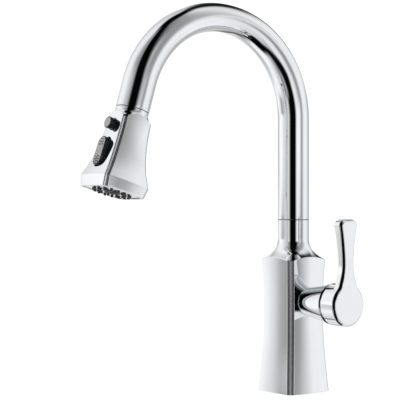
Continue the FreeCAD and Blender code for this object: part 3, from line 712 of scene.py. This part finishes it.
def tower():
    half_at = height_curve(TOWER_SIDES)
    outline_at = lru_cache(None)(lambda z: square(half_at(z), TOWER_CUT, TOWER_BULGE))
    cove = through(TOWER_COVE, (-1, 0.33), (0, 1))
    heights = levels((EDGE, SPOT_SPAN[0], 40), (*SPOT_SPAN, 24), (SPOT_SPAN[1], SHOULDER_Z, 12))
    rows = shell_rows(outline_at, cove, heights, 22)
    lock = NECK_TOP - LOCK_DOWN
    lock_span = (lock - LOCK_R * 1.6, lock + LOCK_R * 1.6)
    neck = levels((TOWER_COVE[-1][1], lock_span[0], 5), (*lock_span, 8))[1:]
    skin = Skin()
    grid = [skin.row(row) for row in rows]
    grid += [ring_row(skin, rows[-1], TUBE_R, z) for z in neck]
    neck_from = len(rows) + 4
    spot_block = (40, 64, *middle_block(0, 0.93))
    lock_cols = middle_block(1, 0.36)
    lock_block = (neck_from, neck_from + 8, *lock_cols)
    # the tower's cut corners take painted shade, with a painted highlight line up them
    grid_faces(skin, grid, [spot_block, lock_block], (0, len(heights) - 1))

    # foot: the soft edge between the sole and the sides
    corners = [p.to_3d() for p in outline_at(0)]
    sole = skin.row([p * (1 - EDGE / TOWER_SIDES[0][1]) for p in corners])
    rounds = zip(*(
        softened(skin.points[a], corner, skin.points[b], 2) for a, corner, b in zip(sole, corners, grid[0])
    ))
    skin.stack([sole] + [skin.row(row) for row in rounds] + [grid[0]])

    pocket = hole_rings(
        skin, block_loop(grid, spot_block), lambda p: (p[1], p[2]),
        lambda flat: (bowed(half_at(flat.y), TOWER_CUT, TOWER_BULGE, flat.x), flat.x, flat.y),
        (0, VALVE_Z), round_reach(SPOT_R), (-1, 0, 0),
    )
    spot = skin.row([(SPOT_X, *skin.points[i][1:]) for i in pocket])
    skin.join(pocket, spot)
    skin.fan(spot, (SPOT_X, 0, VALVE_Z))

    # inside: sole with the gasket's groove, cavity, taper and bore
    angles = [Vector(skin.points[i][:2]) for i in grid[-1]]
    hollow = [(CAVITY_R, 0), (CAVITY_R, 40), (CAVITY_R, CAVITY_TOP), (NECK_BORE, CAVITY_TOP + 6),
              (NECK_BORE, 150)]
    inner = [ring_row(skin, angles, r, z) for r, z in GASKET_GROOVE + hollow]
    bore = [ring_row(skin, angles, NECK_BORE, z) for z in neck[4:]]
    lock_inside = (0, 8, *lock_cols)
    skin.stack([sole] + inner + [bore[0]])
    grid_faces(skin, bore, [lock_inside])
    top = [(TUBE_R, NECK_TOP - EDGE), (TUBE_R - 0.1, NECK_TOP - 0.12), (TUBE_R - EDGE, NECK_TOP),
           (NECK_BORE, NECK_TOP)]
    skin.stack([grid[-1]] + [ring_row(skin, angles, r, z) for r, z in top] + [bore[-1]])

    def on_round(radius):
        return lambda flat: (flat.x, math.sqrt(radius**2 - flat.x**2), flat.y)

    ends = ((grid, lock_block, on_round(TUBE_R), -1), (bore, lock_inside, on_round(NECK_BORE), 1))
    hole_through(skin, ends, (0, lock), round_reach(LOCK_R), 4, 0.15)
    return put(skin, "tower", "root", "chrome", ["body_shell"], [MATERIALS["chrome"], *PAINTED_FACETS])


def head():
    flare = height_curve(HEAD_SIDES)

    def half_at(z):
        share = max(0, (RIM_TOP - z) / (RIM_TOP - RIM_BOTTOM))
        return flare(max(z, RIM_TOP)) + (RIM_HALF - HEAD_SIDES[0][1]) * share

    def bulge_at(z):
        return 0.3 + 0.9 * max(z, RIM_TOP) / RIM_TOP

    def inner_half(z):
        return half_at(z) - HEAD_WALL

    outline_at = lru_cache(None)(lambda z: square(half_at(z), HEAD_CUT, bulge_at(z)))
    cove = through(HEAD_COVE, (-1, 0.4), (0, 1))
    heights = levels((RIM_TOP + EDGE, SLOT_SPAN[0], 6), (*SLOT_SPAN, 32), (SLOT_SPAN[1], BUTTON_SPAN[0], 4),
                     (*BUTTON_SPAN, 16), (BUTTON_SPAN[1], HEAD_SHOULDER, 7))
    rows = shell_rows(outline_at, cove, heights, 10)
    skin = Skin()
    rim = [skin.row(lift(outline_at(z), z)) for z in RIM_LEVELS]
    start = len(rim)
    grid = rim + [skin.row(row) for row in rows]
    columns = middle_block(3, 0.8)
    slot_block = (start + 6, start + 38, *columns)
    button_block = (start + 42, start + 58, *columns)
    # the head's cut corners take painted shade, with a painted highlight line in cells 1 and 2
    grid_faces(skin, grid, [slot_block, button_block], (0, start + 64), (1, 2))

    def inner_row(z):
        return skin.row(lift(square(inner_half(z), HEAD_CUT - CUT_LESS, bulge_at(z)), z))

    # inside: flared hollow, shelf and bore
    mouth = [inner_row(RIM_BOTTOM), inner_row(RIM_TOP)]
    hollow = [inner_row(z) for z in levels((*SLOT_SPAN, 32))]
    angles = [Vector(skin.points[i][:2]) for i in hollow[-1]]
    shelf_z = BUTTON_SPAN[0] - 0.1
    shelf = [inner_row(shelf_z), ring_row(skin, angles, CORE_R, shelf_z)]
    bore = [ring_row(skin, angles, CORE_R, z) for z in levels((*BUTTON_SPAN, 16))]
    slot_inside, button_inside = (0, 32, *columns), (0, 16, *columns)
    skin.stack(mouth + [hollow[0]])
    grid_faces(skin, hollow, [slot_inside])
    skin.stack([hollow[-1]] + shelf + [bore[0]])
    grid_faces(skin, bore, [button_inside])
    top = [(TUBE_R - 0.2, -1.5), (TUBE_R - 0.2, HEAD_TOP - 0.3), (TUBE_R - 0.5, HEAD_TOP)]
    crown = [ring_row(skin, rows[-1], r, z) for r, z in top]
    skin.stack([grid[-1]] + crown + [ring_row(skin, angles, CORE_R, HEAD_TOP), bore[-1]])
    sole = outline_at(RIM_BOTTOM)
    skin.stack([
        mouth[0], skin.row(lift([p * (1 - EDGE / 22) for p in sole], RIM_BOTTOM)),
        skin.row(lift([p * 0.996 for p in sole], RIM_BOTTOM + 0.1)), grid[0],
    ])

    def on_face(half_of, cut):
        return lambda flat: (flat.x, -bowed(half_of(flat.y), cut, bulge_at(flat.y), flat.x), flat.y)

    def on_bore(flat):
        return (flat.x, -math.sqrt(CORE_R**2 - flat.x**2), flat.y)

    outside, inside = on_face(half_at, HEAD_CUT), on_face(inner_half, HEAD_CUT - CUT_LESS)
    slot_of = slot_reach(ROCKER_HALF_W + GAP, ROCKER_HALF_L + 1)
    ends = ((grid, slot_block, outside, 1), (hollow, slot_inside, inside, -1))
    hole_through(skin, ends, (0, ROCKER_Z + GAP), slot_of, 6, 0.3)
    ends = ((grid, button_block, outside, 1), (bore, button_inside, on_bore, -1))
    hole_through(skin, ends, (0, PAUSE_Z), round_reach(PAUSE_R + GAP), 6, 0.3)
    return put(skin, "spray_head_shell", "spray_head", "head_chrome", ["head_shell"],
               [MATERIALS["head_chrome"], *HEAD_PAINTED_FACETS], HEAD_PLACE)


# ---- gooseneck ----

def gooseneck():
    skin = Skin()

    def section(point, angle, across, deep):
        """An oval row about a point (y, z) of the path; deep is its half size in the path's plane."""
        c, s = math.cos(angle) * deep, math.sin(angle) * deep
        return skin.row([(across * x, point[0] + y * c, point[1] + y * s) for x, y, _ in ring(1, 0, 112)])

    def path(radius):
        rows = [((0, z), 0, 0) for z in levels((TUBE_BASE + EDGE, BEND_Z, 24))]
        for k in range(1, 129):
            share = k / 128
            angle = BEND_SWEEP * share
            point = (-BEND_R * (1 - math.cos(angle)), BEND_Z + BEND_R * math.sin(angle))
            rows.append((point, angle, BEND_FLATTEN * TUBE_R * math.sin(math.pi * share) ** 2))
        end, angle, _ = rows[-1]
        for run in levels((0, OUTLET_RUN - EDGE, 8))[1:]:
            point = (end[0] - run * math.sin(angle), end[1] + run * math.cos(angle))
            rows.append((point, angle, 0))
        return [section(p, a, radius, radius - flat) for p, a, flat in rows]

    outer = path(TUBE_R)
    inner = path(TUBE_R - TUBE_WALL)
    tip = Vector((OUTLET.y, OUTLET.z))
    lips = []
    for radius, back in ((TUBE_R - 0.1, 0.1), (TUBE_R - EDGE, 0), (TUBE_R - TUBE_WALL + 0.2, 0)):
        point = tip + Vector((math.sin(TILT), math.cos(TILT))) * back
        lips.append(section(point, BEND_SWEEP, radius, radius))
    foot = [
        section((0, TUBE_BASE + up), 0, radius, radius)
        for radius, up in ((TUBE_R - TUBE_WALL, 0), (TUBE_R - EDGE, 0), (TUBE_R - 0.1, 0.1))
    ]
    skin.stack(outer + lips + inner[::-1] + foot + [outer[0]])
    return put(skin, "gooseneck", "spout", "spout_chrome", ["spout_tube"])


# ---- valve housing and lever ----

def housing():
    nose = math.sqrt(LIFT_CLEAR_R**2 - HOUSING_R**2)
    tip = math.sqrt(LIFT_CLEAR_R**2 - (HOUSING_END - PIVOT_X) ** 2)
    low = math.atan2(tip, HOUSING_END - PIVOT_X)
    high = math.atan2(HOUSING_R, nose)
    lip = []
    for k in range(9):
        angle = high + (low - high) * k / 8
        lip.append((LIFT_CLEAR_R * math.sin(angle), PIVOT_X + LIFT_CLEAR_R * math.cos(angle)))
    cone = [
        (HOUSING_ROOT_R + (HOUSING_R - HOUSING_ROOT_R) * s, SPOT_X + (PIVOT_X + nose - SPOT_X) * s)
        for s in levels((0, 1, 24))[:-1]
    ]
    skin = Skin()
    turned(skin, HOUSING_SPIGOT + cone + lip + eased([lip[-1]] + HOUSING_BORE, 0.3)[1:], 128)
    return put(skin, "valve_collar", "root", "chrome", ["valve_housing"], place=VALVE_PLACE @ ABOUT_X)


def lever_edge():
    """The spoon outline as (y, z), starting low on the left where the hub ends, going up."""
    left = [(-y, z) for y, z in LEVER_HALF]
    climb = through(left, (0.76, 0.65), (-0.2, 1))
    crown = through(
        [left[-1], (-8.6, LEVER_TOP - 1.1), (0, LEVER_TOP), (8.6, LEVER_TOP - 1.1), (11.6, 77)],
        (-0.2, 1), (-0.2, -1),
    )
    points = [climb(k / 60) for k in range(60)]
    points += [crown(k / 40) for k in range(41)]
    points += [climb(1 - k / 60) * (-1, 1) for k in range(1, 61)]
    turns = levels((HUB_ANGLE, -math.pi - HUB_ANGLE, 100))[1:-1]
    hub = [(HUB_R * math.cos(angle), HUB_R * math.sin(angle)) for angle in turns]
    return [Vector(p) for p in points], [Vector(p) for p in hub]


def lever():
    grip, hub = lever_edge()
    edge = grip + hub
    back_line = through(PLATE_BACK)
    face_line = through(PLATE_FACE)
    skin = Skin()

    def back_at(z):
        return back_line((z - 16) / 74)[1] if z > 16 else PLATE_BACK_X

    def face_at(z):
        return face_line((z + 30) / 120)[1]

    def row_of(points, places):
        return skin.row([(x, p.x, p.y) for p, x in zip(points, places)])

    outward = []
    for k in range(len(edge)):
        along = edge[(k + 1) % len(edge)] - edge[k - 1]
        outward.append(Vector((-along.y, along.x)).normalized())

    def drawn_in(points, distance):
        return [p - n * distance for p, n in zip(points, outward)]

    # front: from the line up the middle out to the cut edge, and over it
    rows = []
    inset = drawn_in(edge, LEVER_NOSE)
    for share in (0, 0.25, 0.5, 0.7, 0.86, 0.96, 1):
        row = [Vector((0, min(max(p.y, 0.0), LEVER_SPINE))).lerp(p, share) for p in inset]
        rows.append(row_of(row, [face_at(p.y) for p in row]))
    for turn in range(10, 91, 10):
        a = math.radians(turn)
        depth = LEVER_NOSE * (1 - math.cos(a) ** NOSE_CUT)
        row = drawn_in(edge, LEVER_NOSE * (1 - math.sin(a) ** NOSE_CUT))
        rows.append(row_of(row, [face_at(p.y) - depth for p in row]))

    # wall: down to the back of the plate along the grip, and on to the hub's mouth below
    starts = [face_at(p.y) - LEVER_NOSE for p in edge]
    ends = [back_at(p.y) + LEVER_SOFT for p in grip] + [HUB_X + EDGE] * len(hub)
    for share in (0.25, 0.5, 0.75, 1):
        rows.append(row_of(edge, [a + (b - a) * share for a, b in zip(starts, ends)]))
    skin.stack(rows)
    wall = rows[-1]

    # back of the plate, from the grip's rim in to the spine and the top of the hub
    last = len(grip) - 1
    arc_steps = 45
    upper = []
    for k in range(len(grip)):
        mirror = min(k, last - k)
        side = -1 if k <= len(grip) // 2 else 1
        if mirror <= arc_steps:
            angle = HUB_ANGLE + (math.pi / 2 - HUB_ANGLE) * mirror / arc_steps
            upper.append(Vector((side * HUB_R * math.cos(angle), HUB_R * math.sin(angle))))
        else:
            share = (mirror - arc_steps) / (len(grip) // 2 - arc_steps)
            upper.append(Vector((0, HUB_R + (LEVER_SPINE - HUB_R) * share)))
    back = [wall[: len(grip)]]
    for turn in (30, 60, 90):
        a = math.radians(turn)
        row = drawn_in(grip, LEVER_SOFT * (1 - math.cos(a)))
        back.append(row_of(row, [back_at(p.y) + LEVER_SOFT * (1 - math.sin(a)) for p in row]))
    for share in (0.06, 0.2, 0.45, 0.72, 1):
        row = [p.lerp(q, share) for p, q in zip(drawn_in(grip, LEVER_SOFT), upper)]
        back.append(row_of(row, [back_at(p.y) for p in row]))
    skin.stack(back, False)

    # hub above the plate's root, and the corners where the grip's wall meets the hub
    order = [*range(arc_steps + 1), *range(last - arc_steps + 1, last + 1)]
    lip = row_of([upper[k] for k in order], [HUB_X + EDGE] * len(order))
    skin.join([back[-1][k] for k in order], lip, False)
    for k, lip_end, wall_end in ((0, lip[0], wall[-1]), (last, lip[-1], wall[last + 1])):
        skin.face([*(row[k] for row in back[:5]), back[-1][k], lip_end, wall_end])
    rim = lip + wall[last + 1:]
    mouth = [rim]
    for radius, x in LEVER_MOUTH:
        scale = radius / HUB_R
        mouth.append(skin.row([(x, skin.points[i][1] * scale, skin.points[i][2] * scale) for i in rim]))
    skin.stack(mouth)
    skin.fan(mouth[-1], (LEVER_MOUTH[-1][1], 0, 0))
    return put(skin, "spoon_lever", "handle", "handle_chrome", ["handle_lever"], place=VALVE_PLACE,
               weld=0.002)


# ---- buttons ----

def slot_outline(half_width, half_length, count=96):
    """Points round an upright slot with round ends, evenly spaced along it."""
    straight = half_length - half_width
    arc = math.pi * half_width
    total = 2 * arc + 4 * straight
    out = []
    for k in range(count):
        s = total * k / count
        if s < 2 * straight:
            out.append(Vector((half_width, s - straight)))
        elif s < 2 * straight + arc:
            a = (s - 2 * straight) / half_width
            out.append(Vector((half_width * math.cos(a), straight + half_width * math.sin(a))))
        elif s < 4 * straight + arc:
            out.append(Vector((-half_width, straight - (s - 2 * straight - arc))))
        else:
            a = (s - 4 * straight - arc) / half_width
            out.append(Vector((-half_width * math.cos(a), -straight - half_width * math.sin(a))))
    return out


def rocker():
    """The rocker's pad: a satin face set in a dark glossy body, dished a little along its length."""
    straight = ROCKER_HALF_L - ROCKER_HALF_W
    skin = Skin()

    def loop(inset, depth, dish=0.0):
        row = []
        for p in slot_outline(ROCKER_HALF_W - inset, ROCKER_HALF_L - inset):
            sag = dish * (1 - (p.y / ROCKER_HALF_L) ** 2)
            row.append((p.x, -ROCKER_OUT + depth + sag, ROCKER_Z + p.y))
        return skin.row(row)

    body = [loop(0, ROCKER_OUT - ROCKER_BACK), loop(0, 4), loop(0, 0.9), loop(0.06, 0.56), loop(0.26, 0.26),
            loop(0.56, 0.06), loop(0.9, 0)]
    skin.stack(body, mark=1)
    face = [body[-1], loop(1.0, 0.04), loop(1.05, 0.1), loop(1.2, 0.1), loop(3.0, 0.1, 0.05),
            loop(5.0, 0.1, 0.1)]
    skin.stack(face)
    for rim, mark in ((face[-1], 0), (body[0], 1)):
        spine = []
        for i in rim:
            _, y, z = skin.points[i]
            spine.append((0, y, min(max(z, ROCKER_Z - straight), ROCKER_Z + straight)))
        skin.join(rim, skin.row(spine), mark=mark)
    pivot = Vector((0, -ROCKER_PIVOT, ROCKER_Z)) * MM
    tilt = Matrix.Translation(pivot) @ Matrix.Rotation(-ROCKER_TILT, 4, "X") @ Matrix.Translation(-pivot)
    return put(skin, "rocker_pad", "rocker", "button_grey", ["rocker"],
               [MATERIALS["button_face"], MATERIALS["button_side"]], HEAD_PLACE @ tilt)


def pause_button():
    """A satin disc set in a dark glossy cap."""
    top = -PAUSE_OUT
    skin = Skin()
    turned(skin, eased([(0, top + 0.12), (PAUSE_R - 1, top + 0.12), (PAUSE_R - 0.8, top)], 0.08), 72)
    turned(skin, [
        (PAUSE_R - 0.8, top), (PAUSE_R - 0.5, top), (PAUSE_R - 0.25, top + 0.07),
        (PAUSE_R - 0.07, top + 0.25), (PAUSE_R, top + 0.5), (PAUSE_R, -20), (PAUSE_R, -16), (0, -16),
    ], 72, 1)
    along = Matrix.Translation(Vector((0, 0, PAUSE_Z)) * MM) @ Matrix.Rotation(-math.pi / 2, 4, "X")
    return put(skin, "pause_cap", "pause_button", "button_grey", ["pause_button"],
               [MATERIALS["button_face"], MATERIALS["button_side"]], HEAD_PLACE @ along)


# ---- spring, thread and hose ----

def pause_coil():
    """Coil spring behind the pause button, between the core and the button."""
    along = 36
    low, high = SPRING_SPAN
    skin = Skin()
    rows = []
    for k, y in enumerate(levels((low, high, SPRING_TURNS * along))):
        c, s = math.cos(2 * math.pi * k / along), math.sin(2 * math.pi * k / along)
        wire = ring(SPRING_WIRE, y, 10)
        rows.append(skin.row([((SPRING_R + a) * c, y + b, (SPRING_R + a) * s + PAUSE_Z) for a, b, y in wire]))
    skin.stack(rows)
    for row, y in ((rows[0], low), (rows[-1], high)):
        skin.fan(row, (SPRING_R, y, PAUSE_Z))
    piece = put(skin, "pause_coil", None, "stainless", ["pause_spring"], place=HEAD_PLACE, weld=0.0)
    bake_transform(piece)
    return piece


def shank():
    """The hollow stud with a real helical thread below the deck."""
    count = 96
    skin = Skin()

    def threaded(z):
        fade = max(0.0, min(1.0, (z - SHANK_LOW) / 1.2, (THREAD_TOP - z) / 1.5))
        row = []
        for k, (x, y, _) in enumerate(ring(1, z, count)):
            groove = 1 - abs(2 * ((z / THREAD_PITCH - k / count) % 1) - 1)
            radius = THREAD_CREST - THREAD_DEPTH * fade * min(1, max(0, 1.25 * groove - 0.12))
            row.append((radius * x, radius * y, z))
        return skin.row(row)

    rows = [skin.row(ring(THREAD_CREST - 0.8, SHANK_LOW, count))]
    rows += [threaded(z) for z in levels((SHANK_LOW + 0.4, THREAD_TOP, 200))]
    rows += [skin.row(ring(r, z, count)) for r, z in eased(STUD, 0.2)]
    skin.stack(rows + [rows[0]])
    return put(skin, "threaded_shank", "root", "raw_brass", ["mounting_shank"])


def drawn_hose():
    """The stretch of hose that comes out of the spout with the head."""
    top, bottom, fixed = OUTLET_RUN - 0.4, 1.0, 12.0
    skin = Skin()
    heights = levels((top, bottom, 260))
    outer, inner = ([skin.row(ring(radius, z, 48)) for z in heights] for radius in (HOSE_R, HOSE_BORE))
    skin.stack(outer + inner[::-1] + [outer[0]])
    piece = put(skin, "drawn_hose", None, "hose_braid", ["hose_tail"], place=HEAD_PLACE, weld=0.0)
    turn_uv(piece, HEAD_PLACE.inverted())
    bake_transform(piece)
    return piece


def turn_uv(piece, to_local):
    """A UV map whose U is the turn about the hose's axis, so that the weave follows it."""
    mesh = piece.data
    layer = mesh.uv_layers.new(name="around")
    for polygon in mesh.polygons:
        turns = []
        for index in polygon.loop_indices:
            local = to_local @ mesh.vertices[mesh.loops[index].vertex_index].co
            turns.append(math.atan2(local.y, local.x) / (2 * math.pi))
        wraps = max(turns) - min(turns) > 0.5
        for index, turn in zip(polygon.loop_indices, turns):
            layer.data[index].uv = (turn + 1 if wraps and turn < 0 else turn, 0)


# ---- stage ----

CAMERA_FROM = Vector((0.9773, -0.8259, 0.19424))
CAMERA_LOOK = Vector((-0.8098, 0.5867, 0))
LENS = 112.32


def camera():
    data = bpy.data.cameras.new("camera")
    data.lens = LENS
    data.sensor_width = 36
    data.clip_start = 0.05
    data.clip_end = 200
    view = bpy.data.objects.new("camera", data)
    view.location = CAMERA_FROM
    view.rotation_mode = "QUATERNION"
    view.rotation_quaternion = CAMERA_LOOK.to_track_quat("-Z", "Y")
    bpy.context.scene.collection.objects.link(view)
    bpy.context.scene.camera = view


def floor():
    mesh = bpy.data.meshes.new("floor")
    reach = 30
    mesh.from_pydata([(-reach, -reach, 0), (reach, -reach, 0), (reach, reach, 0), (-reach, reach, 0)], [],
                     [(0, 1, 2, 3)])
    material, tree, shader = nodes_of("pale_floor")
    shader.inputs["Base Color"].default_value = (0.8, 0.8, 0.8, 1)
    shader.inputs["Roughness"].default_value = 0.9
    shader.inputs["Specular IOR Level"].default_value = 0.0
    shader.inputs["Emission Color"].default_value = (1, 1, 1, 1)
    shader.inputs["Emission Strength"].default_value = 0.75
    mesh.materials.append(material)
    ground = bpy.data.objects.new("floor", mesh)
    ground.visible_glossy = False
    bpy.context.scene.collection.objects.link(ground)


# The studio as seen from the faucet: brightness by turn to the right of the camera, in degrees, at
# heights of 55, 28 and 6 degrees down, then 3, 22 and 52 up. Soft boxes stand left and right, with a
# black gap between them in front, overhead and below, and light walls behind.
STUDIO = (
    ((-180, .40), (-170, .60), (-150, .93), (-110, .96), (-80, .88), (-55, .74), (-42, .63), (-30, .50),
     (-20, .20), (-12, .03), (8, .03), (16, .30), (26, .68), (50, .80), (90, .87), (125, .90),
     (140, .74), (152, .62), (165, .75), (174, .35), (180, .35)),
    ((-180, .85), (-165, .75), (-150, .70), (-130, .78), (-110, .93), (-90, .95), (-70, .83),
     (-50, .80), (-42, .60), (-36, .40), (-30, .60), (-24, .65), (-17, .20), (-12, .02), (14, .02),
     (20, .50), (27, .88), (50, .88), (64, .86), (85, .90), (115, .93), (128, .80), (140, .64),
     (155, .72), (166, .78), (176, .40), (180, .40)),
    ((-180, .80), (-160, .90), (-145, .80), (-128, .97), (-116, .93), (-104, .82), (-95, .66),
     (-88, .60), (-80, .70), (-60, .80), (-50, .68), (-42, .80), (-36, .76), (-29, .40), (-25, .02),
     (10, .02), (15, .60), (22, .90), (36, .88), (48, .68), (56, .54), (64, .60), (71, .78), (78, .91),
     (88, .92), (120, .85), (135, .66), (150, .68), (165, .80), (180, .80)),
    ((-180, .80), (-160, .85), (-148, .70), (-138, .75), (-122, .95), (-100, .97), (-80, .85),
     (-60, .80), (-50, .68), (-42, .82), (-36, .80), (-29, .40), (-25, .02), (10, .02), (15, .60),
     (22, .93), (40, .94), (50, .80), (57, .58), (64, .62), (71, .80), (78, .91), (100, .93), (120, .82),
     (135, .66), (150, .68), (165, .80), (180, .80)),
    ((-180, .45), (-174, 1.0), (-164, .70), (-150, .80), (-120, .93), (-90, .92), (-60, .75),
     (-44, .66), (-34, .50), (-26, .10), (-20, .02), (18, .02), (26, .45), (34, .68), (48, .56),
     (60, .56), (70, .68), (80, .82), (90, .90), (125, .90), (145, .86), (152, .55), (158, .15),
     (174, .12), (180, .45)),
    ((-180, .40), (-174, .72), (-150, .82), (-120, .91), (-90, .88), (-70, .68), (-50, .56), (-36, .50),
     (-28, .10), (-20, .02), (14, .02), (24, .30), (32, .46), (60, .60), (80, .82), (105, .86),
     (125, .72), (138, .34), (146, .12), (174, .08), (180, .40)),
)
STUDIO_STEPS = ((-50, -36), (-24, -12), (-2.5, 2), (6, 16), (30, 46))
NADIR = (64, 76)
ZENITH = (68, 80)
STUDIO_LIGHT = 1.1


def light_of(tone):
    """Linear light of a tone as the eye and the picture read it."""
    return tone / 12.92 if tone < 0.04 else ((tone + 0.055) / 1.055) ** 2.4


def studio():
    world = bpy.data.worlds.new("studio")
    bpy.context.scene.world = world
    world.use_nodes = True
    tree = world.node_tree
    link = tree.links.new

    def step(value, low, high, kind="SMOOTHSTEP"):
        node = tree.nodes.new("ShaderNodeMapRange")
        node.interpolation_type = kind
        sockets = [node.inputs[name] for name in ("Value", "From Min", "From Max")]
        feed(tree, sockets, (value, low, high))
        return node.outputs["Result"]

    def grey(tone):
        return (light_of(tone),) * 3 + (1,)

    place = tree.nodes.new("ShaderNodeTexCoord")
    split = tree.nodes.new("ShaderNodeSeparateXYZ")
    turn = tree.nodes.new("ShaderNodeVectorRotate")
    turn.rotation_type = "Z_AXIS"
    turn.inputs["Angle"].default_value = math.atan2(CAMERA_LOOK.y, -CAMERA_LOOK.x)
    link(place.outputs["Generated"], turn.inputs["Vector"])
    link(turn.outputs["Vector"], split.inputs["Vector"])
    around = maths(tree, "ARCTAN2", split.outputs["Y"], split.outputs["X"])
    share = step(around, -math.pi, math.pi, "LINEAR")
    height = maths(tree, "MULTIPLY", maths(tree, "ARCSINE", split.outputs["Z"]), 180 / math.pi)
    bands = []
    for stops in STUDIO:
        ramp = tree.nodes.new("ShaderNodeValToRGB")
        link(share, ramp.inputs["Fac"])
        elements = ramp.color_ramp.elements
        elements[0].color = grey(stops[0][1])
        elements[1].color = grey(stops[-1][1])
        for degrees, tone in stops[1:-1]:
            elements.new((degrees + 180) / 360).color = grey(tone)
        bands.append(ramp.outputs["Color"])
    colour = bands[0]
    for band, span in zip(bands[1:], STUDIO_STEPS):
        colour = mixed(tree, step(height, *span), colour, band)
    black = (0.001, 0.001, 0.001, 1)
    colour = mixed(tree, step(maths(tree, "MULTIPLY", height, -1), *NADIR), colour, black)
    colour = mixed(tree, step(height, *ZENITH), colour, black)
    seen = tree.nodes.new("ShaderNodeLightPath").outputs["Is Camera Ray"]
    back = tree.nodes["Background"]
    feed(tree, (back.inputs["Color"], back.inputs["Strength"]),
         (mixed(tree, seen, colour, (1, 1, 1, 1)), STUDIO_LIGHT))


dress_cad_nodes()
tower()
gooseneck()
housing()
lever()
head()
rocker()
pause_button()
pause_coil()
shank()
drawn_hose()
camera()
floor()
studio()
bpy.context.scene.view_settings.view_transform = "Standard"
